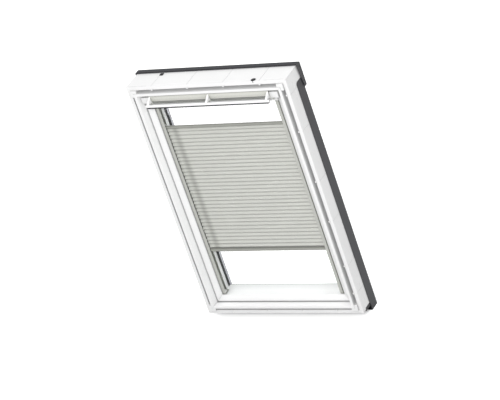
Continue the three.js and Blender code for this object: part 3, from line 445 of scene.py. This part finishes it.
def smooth_by_angle():
    """Modifier nodes that smooth every face and keep the edges above the angle sharp."""
    group = bpy.data.node_groups.new("smooth_by_angle", "GeometryNodeTree")
    for way in ("INPUT", "OUTPUT"):
        group.interface.new_socket("Geometry", in_out=way, socket_type="NodeSocketGeometry")
    entry = group.nodes.new("NodeGroupInput")
    angle = group.nodes.new("GeometryNodeInputMeshEdgeAngle")
    below = add_node(group, "FunctionNodeCompare", {"data_type": "FLOAT", "operation": "LESS_THAN"}, {
        "A": angle.outputs["Unsigned Angle"], "B": SMOOTH_BELOW})
    faces = add_node(group, "GeometryNodeSetShadeSmooth", {"domain": "FACE"}, {
        "Geometry": entry.outputs["Geometry"]})
    edges = add_node(group, "GeometryNodeSetShadeSmooth", {"domain": "EDGE"}, {
        "Geometry": faces.outputs["Geometry"], "Shade Smooth": below.outputs["Result"]})
    add_node(group, "NodeGroupOutput", inputs={"Geometry": edges.outputs["Geometry"]})
    return group


SMOOTHING = smooth_by_angle()


def ease(node, radius_mm):
    """Merged corners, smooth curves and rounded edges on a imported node, as modifiers."""
    stack = frame["nodes"][node].modifiers
    stack.new("weld", "WELD").merge_threshold = WELD_REACH * MM
    flats = stack.new("flats", "DECIMATE")
    flats.decimate_type = "DISSOLVE"
    flats.angle_limit = FLAT_BELOW
    stack.new("smooth", "NODES").node_group = SMOOTHING
    rounding = stack.new("rounding", "BEVEL")
    rounding.width = radius_mm * MM
    rounding.segments = EASING_SEGMENTS
    rounding.limit_method = "ANGLE"
    rounding.angle_limit = SMOOTH_BELOW
    rounding.harden_normals = True
    stack.new("normals", "WEIGHTED_NORMAL").keep_sharp = True


EASED_NODES = {
    0.5: ["frame_top", "frame_bottom", "frame_left", "frame_right", "sash_left", "sash_right",
          "sash_bottom", "sash_top"],
    0.8: ["bar_bracket_left", "bar_bracket_middle", "bar_bracket_right", "control_bar",
          "corner_key_top_left", "corner_key_top_right", "corner_key_bottom_left",
          "corner_key_bottom_right", "cable_plug"],
    0.4: ["vent_flap", "vent_end_left", "vent_end_right", "blind_top_bar", "blind_bottom_bar",
          "rail_left", "rail_right", "hinge_plate_left", "hinge_plate_right", "lock_case", "lock_latch",
          "striker_plate", "sill_gasket"],
    0.3: ["hood", "cladding_left", "cladding_right", "cladding_bottom", "sash_cladding_left",
          "sash_cladding_right", "sash_cladding_top", "sash_cladding_bottom"],
    0.2: ["inner_gasket", "outer_gasket", "frame_seal", "pane_spacer"],
}
for radius, nodes in EASED_NODES.items():
    for node_name in nodes:
        ease(node_name, radius)


# Screws: a domed round head with a six-lobed socket

HEAD_SIDES = 24
HEAD_RINGS = [(0.35, 1.0), (0.35, 0.9), (0.2, 0.72)]
SOCKET_SHARE = 0.42
SOCKET_LOBES = 6
LOBE_SHARE = 0.13
SOCKET_DEPTH_SHARE = 0.6

# Radius and height of each kind of head
CLADDING_HEAD = (3.6, 2.0)
HOOD_HEAD = (3.0, 1.6)
HINGE_HEAD = (3.0, 1.0)
STRIKER_HEAD = (2.6, 0.6)
LOCK_HEAD = (3.0, 0.9)
RAIL_HEAD = (2.4, 0.9)

# Faces that the heads stand on, and the rows that they stand in
CLADDING_BACK = 134.6
CLADDING_ROW = 362
CLADDING_HEIGHTS = (-500, -170, 170, 450)
HOOD_SIDE = 395
HOOD_ROW_DEPTH = 140
HOOD_HEIGHTS = (506, 575)
FRAME_INSIDE = 334.3
PIVOT_DEPTH = 82
HINGE_HEIGHTS = (-30, 27)
STRIKER_FACE = 537.3
STRIKER_ROW = 22
LOCK_FACE = 532.3
LOCK_ROW = 30


def add_screw(name, spot, outward, head, slot, body):
    radius, height = head
    mesh_data = bmesh.new()
    bmesh.ops.create_circle(mesh_data, cap_ends=True, segments=HEAD_SIDES, radius=radius * MM)
    top = mesh_data.faces[:]
    size = 1.0
    for rise, share in HEAD_RINGS:
        grown = bmesh.ops.extrude_face_region(mesh_data, geom=top)["geom"]
        corners = only(grown, BMVert)
        top = only(grown, BMFace)
        bmesh.ops.scale(mesh_data, vec=(share / size, share / size, 1), verts=corners)
        bmesh.ops.translate(mesh_data, vec=(0, 0, rise * height * MM), verts=corners)
        size = share
    bmesh.ops.inset_region(mesh_data, faces=top, thickness=(size - SOCKET_SHARE) * radius * MM)
    for corner in top[0].verts:
        angle = math.atan2(corner.co.y, corner.co.x)
        corner.co.xy *= 1 + LOBE_SHARE * math.cos(SOCKET_LOBES * angle)
    sunk = bmesh.ops.extrude_face_region(mesh_data, geom=top)["geom"]
    bmesh.ops.translate(mesh_data, vec=(0, 0, -SOCKET_DEPTH_SHARE * height * MM),
                        verts=only(sunk, BMVert))
    bmesh.ops.recalc_face_normals(mesh_data, faces=mesh_data.faces[:])
    turn = Vector((0, 0, 1)).rotation_difference(Vector(outward)).to_matrix().to_4x4()
    bmesh.ops.transform(mesh_data, matrix=Matrix.Translation(place(*spot)) @ turn,
                        verts=mesh_data.verts[:])
    smooth_between_edges(mesh_data)
    return finish_mesh(name, mesh_data, slot, body)


for hand, side in SIDES:
    for row, height in enumerate(CLADDING_HEIGHTS):
        add_screw(f"cladding_screw_{hand}_{row + 1}", (side * CLADDING_ROW, CLADDING_BACK, height),
                  (0, 1, 0), CLADDING_HEAD, "zinc_steel", "frame")
    for row, height in enumerate(HOOD_HEIGHTS):
        add_screw(f"hood_screw_{hand}_{row + 1}", (side * HOOD_SIDE, HOOD_ROW_DEPTH, height),
                  (side, 0, 0), HOOD_HEAD, "grey_sheet", "frame")
    for row, height in enumerate(HINGE_HEIGHTS):
        add_screw(f"hinge_screw_{hand}_{row + 1}", (side * FRAME_INSIDE, PIVOT_DEPTH, height),
                  (-side, 0, 0), HINGE_HEAD, "zinc_steel", "frame")
    add_screw(f"striker_screw_{hand}", (side * STRIKER_ROW, PIVOT_DEPTH, STRIKER_FACE), (0, 0, -1),
              STRIKER_HEAD, "zinc_steel", "frame")
    add_screw(f"lock_screw_{hand}", (side * LOCK_ROW, PIVOT_DEPTH, LOCK_FACE), (0, 0, 1),
              LOCK_HEAD, "zinc_steel", "sash")


# Rounded blocks: the caps of the control bar and the feet of the blind's side rails

BLOCK_ROUND = 0.5
CAP_ACROSS = (300.6, 302.0)
CAP_DEPTHS = (-24.8, -17.2)
CAP_HEIGHTS = (496.2, 512.8)
FOOT_ACROSS = (288.2, 307.2)
FOOT_DEPTHS = (41.2, 74.8)
FOOT_HEIGHTS = (-506.8, -504.7)
RAIL_SCREW = (294.5, 58)


def add_block(name, across, depths, heights, radius_mm, slot, body):
    """A rounded block between two values each way."""
    low, high = [place(*corner) for corner in zip(across, depths, heights)]
    mesh_data = bmesh.new()
    bmesh.ops.create_cube(mesh_data, size=1)
    bmesh.ops.scale(mesh_data, vec=high - low, verts=mesh_data.verts[:])
    bmesh.ops.translate(mesh_data, vec=(high + low) / 2, verts=mesh_data.verts[:])
    round_edges(mesh_data, mesh_data.edges[:], radius_mm)
    smooth_between_edges(mesh_data)
    return finish_mesh(name, mesh_data, slot, body)


for hand, side in SIDES:
    add_block(f"control_bar_cap_{hand}", sorted(side * x for x in CAP_ACROSS), CAP_DEPTHS,
              CAP_HEIGHTS, BLOCK_ROUND, "white_plastic", "control_bar")
    add_block(f"rail_foot_{hand}", sorted(side * x for x in FOOT_ACROSS), FOOT_DEPTHS,
              FOOT_HEIGHTS, BLOCK_ROUND, "blind_profile", "sash")
    add_screw(f"rail_screw_{hand}", (side * RAIL_SCREW[0], RAIL_SCREW[1], FOOT_HEIGHTS[0]),
              (0, 0, -1), RAIL_HEAD, "zinc_steel", "sash")


# Long mouldings: an outline in depth and height, drawn out along the width

def add_moulding(name, outline, ends, round_mm, slot, body):
    start, end = ends
    mesh_data = drawn_out([place(start, depth, height) for depth, height in outline],
                          Vector(((end - start) * MM, 0, 0)))
    long_edges = [edge for edge in mesh_data.edges
                  if abs(edge.verts[0].co.x - edge.verts[1].co.x) > MM]
    round_edges(mesh_data, long_edges, round_mm)
    smooth_between_edges(mesh_data)
    return finish_mesh(name, mesh_data, slot, body)


# Grip on the front of each bar of the blind: a ridge along the top and one along the foot.
# Each point stands off the bar's face, and lies below the bar's top or above its foot.
BAR_HALF = 287.6
BAR_FACE = 46.0
GRIP_BELOW_TOP = [(0.05, 3.0), (1.6, 3.4), (2.0, 6.0)]
GRIP_ABOVE_FOOT = [(2.6, 8.4), (3.6, 7.0), (3.6, 5.0), (0.05, 4.6)]
GRIP_ROUND = 0.5
TOP_BAR_HEIGHTS = (353.2, 369.3)
BOTTOM_BAR_HEIGHTS = (-282.4, -266.4)


def add_bar_grip(name, heights, body):
    foot, top = heights
    outline = [(BAR_FACE - proud, top - down) for proud, down in GRIP_BELOW_TOP]
    outline += [(BAR_FACE - proud, foot + up) for proud, up in GRIP_ABOVE_FOOT]
    add_moulding(name, outline, (-BAR_HALF, BAR_HALF), GRIP_ROUND, "blind_profile", body)


add_bar_grip("top_bar_grip", TOP_BAR_HEIGHTS, "blind_top_bar")
add_bar_grip("bottom_bar_grip", BOTTOM_BAR_HEIGHTS, "blind_bottom_bar")

# Air inlet at the foot of the flap: a band of filter foam behind two fine ribs.
# The foam's dark tone is painted shade, where the control bar shades the flap.
# The flap's front curves from its shoulder to its foot, drawn towards the bulge (depth, height).
FLAP_SHOULDER = (6.5, 533.0)
FLAP_BULGE = (6.5, 514.0)
FLAP_FOOT = (14.0, 499.5)
FLAP_SPANS = (("left", (-284.5, -4.5)), ("right", (4.5, 284.5)))
FOAM_SHARES = (0.53, 0.99)
FOAM_PROUD = 0.35
RIB_SHARES = (("upper", (0.66, 0.71)), ("lower", (0.84, 0.89)))
RIB_PROUD = 1.1
BAND_SEAT = 0.05
BAND_ROUND = 0.1
BAND_STEPS = 5


def flap_face(share, proud):
    """A point of the flap's front, from its shoulder at 0 to its foot at 1, stood off by proud."""
    weights = ((1 - share) ** 2, 2 * share * (1 - share), share ** 2)
    corners = (FLAP_SHOULDER, FLAP_BULGE, FLAP_FOOT)
    depth = sum(weight * corner[0] for weight, corner in zip(weights, corners))
    height = sum(weight * corner[1] for weight, corner in zip(weights, corners))
    return depth - proud, height


def add_flap_band(name, shares, proud, slot):
    start, end = shares
    places = [start + (end - start) * step / BAND_STEPS for step in range(BAND_STEPS + 1)]
    outline = [flap_face(share, proud) for share in places]
    outline += [flap_face(share, BAND_SEAT) for share in reversed(places)]
    for hand, ends in FLAP_SPANS:
        add_moulding(f"{name}_{hand}", outline, ends, BAND_ROUND, slot, "control_bar")


# Covers that close the flap's ends: each stands on the sash corner and laps over the end block
COVER_OUTLINE = [(293.6, 7.5), (333.3, 7.5), (333.3, 26.7), (302.5, 26.7), (302.5, 17.7), (293.6, 17.7)]
COVER_FOOT = 505.0
COVER_TOP = 533.6
COVER_ROUND = 1.4


def add_end_cover(name, side):
    mesh_data = drawn_out([place(side * across, depth, COVER_FOOT) for across, depth in COVER_OUTLINE],
                          Vector((0, 0, (COVER_TOP - COVER_FOOT) * MM)))
    round_edges(mesh_data, mesh_data.edges[:], COVER_ROUND)
    smooth_between_edges(mesh_data)
    return finish_mesh(name, mesh_data, "white_plastic", "sash")


for hand, side in SIDES:
    add_end_cover(f"vent_cover_{hand}", side)

add_flap_band("inlet_shade_foam", FOAM_SHARES, FOAM_PROUD, "filter_foam")
for row, shares in RIB_SHARES:
    add_flap_band(f"inlet_rib_{row}", shares, RIB_PROUD, "flap_white")

# Grip bead along the underside of the control bar, in the dark sheet finish; its dark tone is painted
# shade under the bar
BEAD_OUTLINE = [(-24.2, 501.9), (-23.6, 496.8), (-18.8, 496.8), (-18.2, 501.9)]
BEAD_HALF = 297.0
TRIM_ROUND = 0.4
add_moulding("control_bar_shade_bead", BEAD_OUTLINE, (-BEAD_HALF, BEAD_HALF), TRIM_ROUND, "grey_sheet",
             "control_bar")

# Plug of the drain hole in the head, close under the hood
PLUG_ACROSS = (-265.0, -249.0)
PLUG_DEPTHS = (96.0, 112.0)
PLUG_HEIGHTS = (588.4, 592.0)
PLUG_ROUND = 1.4
add_block("head_drain_plug", PLUG_ACROSS, PLUG_DEPTHS, PLUG_HEIGHTS, PLUG_ROUND, "black_rubber",
          "frame")

# Hem along the front of the hood, folded under
HEM_OUTLINE = [(119.9, 589.6), (118.3, 589.9), (118.3, 592.2), (119.9, 592.6)]
HEM_HALF = 393.5
add_moulding("hood_hem", HEM_OUTLINE, (-HEM_HALF, HEM_HALF), TRIM_ROUND, "grey_sheet", "frame")

# Rubber seal in the gap round the sash, with mitred corners
SASH_HALF = 332.3
SASH_LOW = -535.4
SASH_HIGH = 532.3
SEAL_FRONT = 29.0
SEAL_BACK = 31.5
SEAL_REACH = 0.7
SEAL_ROUND = 0.4


def add_gap_seal():
    mesh_data = bmesh.new()
    corners = [(-SASH_HALF, SASH_LOW), (SASH_HALF, SASH_LOW), (SASH_HALF, SASH_HIGH),
               (-SASH_HALF, SASH_HIGH)]
    ring = [mesh_data.verts.new(place(x, SEAL_FRONT, z)) for x, z in corners]
    edges = [mesh_data.edges.new(pair) for pair in zip(ring, ring[1:] + ring[:1])]
    rings = [edges]
    for depth, reach in ((SEAL_FRONT + SEAL_ROUND, SEAL_REACH), (SEAL_BACK - SEAL_ROUND, SEAL_REACH),
                         (SEAL_BACK, 0.0)):
        grown = bmesh.ops.extrude_edge_only(mesh_data, edges=rings[-1])["geom"]
        moved = only(grown, BMVert)
        for corner in moved:
            across = math.copysign(SASH_HALF + reach, corner.co.x)
            up = SASH_HIGH + reach if corner.co.z > HALF_HEIGHT * MM else SASH_LOW - reach
            corner.co = place(across, depth, up)
        rings.append([edge for edge in only(grown, BMEdge)
                      if all(corner in moved for corner in edge.verts)])
    bmesh.ops.bridge_loops(mesh_data, edges=rings[0] + rings[-1])
    bmesh.ops.recalc_face_normals(mesh_data, faces=mesh_data.faces[:])
    smooth_between_edges(mesh_data)
    return finish_mesh("sash_gap_seal", mesh_data, "black_rubber", "sash")


add_gap_seal()


# Honeycomb cloth: one folded strip per cell, glued to the next along a narrow web

CELLS = 33
CLOTH_TOP = 349.2
CELL_PITCH = 18.76
CLOTH_HALF_WIDTH = 291.0
PEAKS = (49.1, 65.2)
VALLEYS = (55.2, 59.1)
PANEL_STEPS = 4
WEB_STEPS = 2
CREASE_ROUND = 0.8
PANEL_SAG = 0.5
COLUMNS = 36
SAME_COLUMN = 0.01
WEB_MARGIN = 0.1

# How far the panels waver, and the noise scales of it: along the width, by cell and by depth
WAVER = 0.06
LIFT_SCALES = (9, 3.7, 20)
SWAY_SCALES = (14, 1.9)
SWAY_SLICE = 5.0
SEED = 7
SEED_SPREAD = 50


def crease_line():
    """The strip across a cell, as (depth, height down from the cell's top) from the front web edge."""
    front, back = PEAKS
    near, far = VALLEYS
    half = CELL_PITCH / 2
    middle = (near + far) / 2
    corners = [(near, CELL_PITCH), (front, half), (near, 0.0), (far, 0.0), (back, half), (far, CELL_PITCH)]
    points = [corners[0]]
    for (y0, z0), (y1, z1) in zip(corners, corners[1:]):
        long_panel = z0 != z1
        steps = PANEL_STEPS if long_panel else WEB_STEPS
        for step in range(1, steps + 1):
            share = step / steps
            sag = PANEL_SAG * math.sin(math.pi * share) if long_panel else 0.0
            depth = y0 + (y1 - y0) * share
            inward = 1 if depth < middle else -1
            points.append((depth + sag * inward, z0 + (z1 - z0) * share))
    return points


def rounded_ends(points):
    """Each peak loses its point: it is pulled in by the rounding of the crease."""
    front = min(depth for depth, _ in points)
    back = max(depth for depth, _ in points)
    return [(depth + CREASE_ROUND * (depth == front) - CREASE_ROUND * (depth == back), down)
            for depth, down in points]


def folded_strip(points, top):
    """The strip of one cell drawn out along the width, with the run along it kept on its corners."""
    mesh_data = bmesh.new()
    along = mesh_data.verts.layers.float.new("along")
    run = 0.0
    column = []
    for number, (depth, down) in enumerate(points):
        if number:
            run += math.dist(points[number - 1], (depth, down))
        corner = mesh_data.verts.new(place(-CLOTH_HALF_WIDTH, depth, top - down))
        corner[along] = run * MM
        column.append(corner)
    edges = [mesh_data.edges.new(pair) for pair in zip(column, column[1:])]
    step = Vector((2 * CLOTH_HALF_WIDTH / COLUMNS * MM, 0, 0))
    for _ in range(COLUMNS):
        grown = bmesh.ops.extrude_edge_only(mesh_data, edges=edges)["geom"]
        bmesh.ops.translate(mesh_data, vec=step, verts=only(grown, BMVert))
        edges = [edge for edge in only(grown, BMEdge)
                 if abs(edge.verts[0].co.x - edge.verts[1].co.x) < SAME_COLUMN * MM]
    return mesh_data, along


def waver(mesh_data, seed):
    """Lets the panels drift a little off the straight, and keeps the glued web where it is."""
    web_front = (VALLEYS[0] - SILL_DEPTH - WEB_MARGIN) * MM
    web_back = (VALLEYS[1] - SILL_DEPTH + WEB_MARGIN) * MM
    for corner in mesh_data.verts:
        x, y = corner.co.xy
        if web_front <= y <= web_back:
            continue
        lift = noise.noise(Vector((x * LIFT_SCALES[0], seed * LIFT_SCALES[1], y * LIFT_SCALES[2])))
        sway = noise.noise(Vector((x * SWAY_SCALES[0], seed * SWAY_SCALES[1], SWAY_SLICE)))
        corner.co.z += lift * WAVER * MM
        corner.co.y += sway * WAVER * MM


def add_cell(index, seed):
    points = rounded_ends(crease_line())
    top = CLOTH_TOP - index * CELL_PITCH
    mesh_data, along = folded_strip(points, top)
    waver(mesh_data, seed)
    flat = mesh_data.loops.layers.uv.new("cloth")
    for face in mesh_data.faces:
        face.smooth = True
        for loop in face.loops:
            loop[flat].uv = (loop.vert.co.x, loop.vert[along] + index * CELL_PITCH * MM)
    bmesh.ops.recalc_face_normals(mesh_data, faces=mesh_data.faces[:])
    for edge in sharp_edges(mesh_data):
        edge.smooth = False
    cell = finish_mesh(f"cloth_cell_{index + 1:02d}", mesh_data, "pleated_cloth")
    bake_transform(cell)
    return cell


random.seed(SEED)
cells = [add_cell(index, random.random() * SEED_SPREAD) for index in range(CELLS)]
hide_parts("blind_cloth")

# Guide cords inside the cells, taut from bar to bar
GUIDE_RADIUS = 0.6
GUIDE_SIDES = 8
GUIDE_STEPS = 40
CLOTH_FOOT = CLOTH_TOP - CELLS * CELL_PITCH


def add_guide_cord(name, across):
    middle = (PEAKS[0] + PEAKS[1]) / 2
    upper = place(across, middle, CLOTH_TOP)
    lower = place(across, middle, CLOTH_FOOT)
    mesh_data = bmesh.new()
    bmesh.ops.create_circle(mesh_data, cap_ends=True, segments=GUIDE_SIDES, radius=GUIDE_RADIUS * MM)
    bmesh.ops.translate(mesh_data, vec=upper, verts=mesh_data.verts[:])
    end = mesh_data.faces[:]
    for _ in range(GUIDE_STEPS):
        grown = bmesh.ops.extrude_face_region(mesh_data, geom=end)["geom"]
        end = only(grown, BMFace)
        bmesh.ops.translate(mesh_data, vec=(lower - upper) / GUIDE_STEPS, verts=only(grown, BMVert))
    bmesh.ops.recalc_face_normals(mesh_data, faces=mesh_data.faces[:])
    smooth_between_edges(mesh_data)
    cord = finish_mesh(name, mesh_data, "cord_yarn")
    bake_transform(cord)


add_guide_cord("guide_cord_left", -CORD_RUN)
add_guide_cord("guide_cord_right", CORD_RUN)


# Floor, world and lamps

WHITE = (1, 1, 1, 1)
FLOOR_SPAN = 30
FLOOR_GAP = 0.5
FLOOR_LIFT = 0.3
SKY_LIGHT = 0.97


def seen_directly(tree):
    """1 where the camera sees a thing itself, in a reflection or through glass, else 0."""
    path = add_node(tree, "ShaderNodeLightPath")
    total = path.outputs["Is Camera Ray"]
    for kind in ("Is Glossy Ray", "Is Transmission Ray"):
        either = add_node(tree, "ShaderNodeMath", {"operation": "MAXIMUM"}, {
            0: total, 1: path.outputs[kind]})
        total = either.outputs[0]
    return total


def make_floor():
    """A white floor that keeps the shadow; it throws back less light than it shows, as a far
    studio floor does."""
    mesh = bpy.data.meshes.new("floor")
    floor_data = bmesh.new()
    bmesh.ops.create_grid(floor_data, x_segments=1, y_segments=1, size=FLOOR_SPAN)
    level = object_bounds()[0][2] - FLOOR_GAP * MM
    bmesh.ops.translate(floor_data, vec=(0, 0, level), verts=floor_data.verts[:])
    floor_data.to_mesh(mesh)
    floor_data.free()
    material, tree = new_tree("floor_white")
    seen = seen_directly(tree)
    tone = add_node(tree, "ShaderNodeMix", {"data_type": "RGBA"}, {
        "Factor": seen, "A": linear("#808080"), "B": linear("#f4f4f4")})
    matt = add_node(tree, "ShaderNodeBsdfDiffuse", inputs={"Color": tone.outputs["Result"]})
    lift = add_node(tree, "ShaderNodeMapRange", inputs={"Value": seen, "To Max": FLOOR_LIFT})
    glow = add_node(tree, "ShaderNodeEmission", inputs={"Color": WHITE, "Strength": lift.outputs[0]})
    both = add_node(tree, "ShaderNodeAddShader", inputs={0: matt.outputs[0], 1: glow.outputs[0]})
    close_tree(tree, both)
    mesh.materials.append(material)
    floor = bpy.data.objects.new("floor", mesh)
    bpy.context.scene.collection.objects.link(floor)


def make_world():
    """A white sky, a little weaker as a light than as it is seen."""
    world = bpy.data.worlds.new("studio")
    bpy.context.scene.world = world
    world.use_nodes = True
    tree = world.node_tree
    tree.nodes.clear()
    level = add_node(tree, "ShaderNodeMapRange", inputs={
        "Value": seen_directly(tree), "To Min": SKY_LIGHT, "To Max": 1.0})
    sky = add_node(tree, "ShaderNodeBackground", inputs={"Color": WHITE, "Strength": level.outputs[0]})
    add_node(tree, "ShaderNodeOutputWorld", inputs={"Surface": sky.outputs[0]})


# Soft lamps: name, place, size across, watts; each looks at the middle of the window
LAMPS = [
    ("key", (2.4, -5.2, 4.1), 2.4, 395),
    ("outside", (0.35, 3.2, 1.12), 1.6, 42),
]


def make_lamps():
    middle = Vector((0, 0, HALF_HEIGHT * MM))
    for name, spot, size, power in LAMPS:
        lamp = bpy.data.objects.new(name, bpy.data.lights.new(name, "AREA"))
        lamp.data.shape = "DISK"
        lamp.data.size = size
        lamp.data.energy = power
        lamp.location = spot
        lamp.rotation_euler = (middle - Vector(spot)).to_track_quat("-Z", "Y").to_euler()
        bpy.context.scene.collection.objects.link(lamp)


make_floor()
make_world()
make_lamps()
bpy.context.scene.view_settings.view_transform = "Standard"
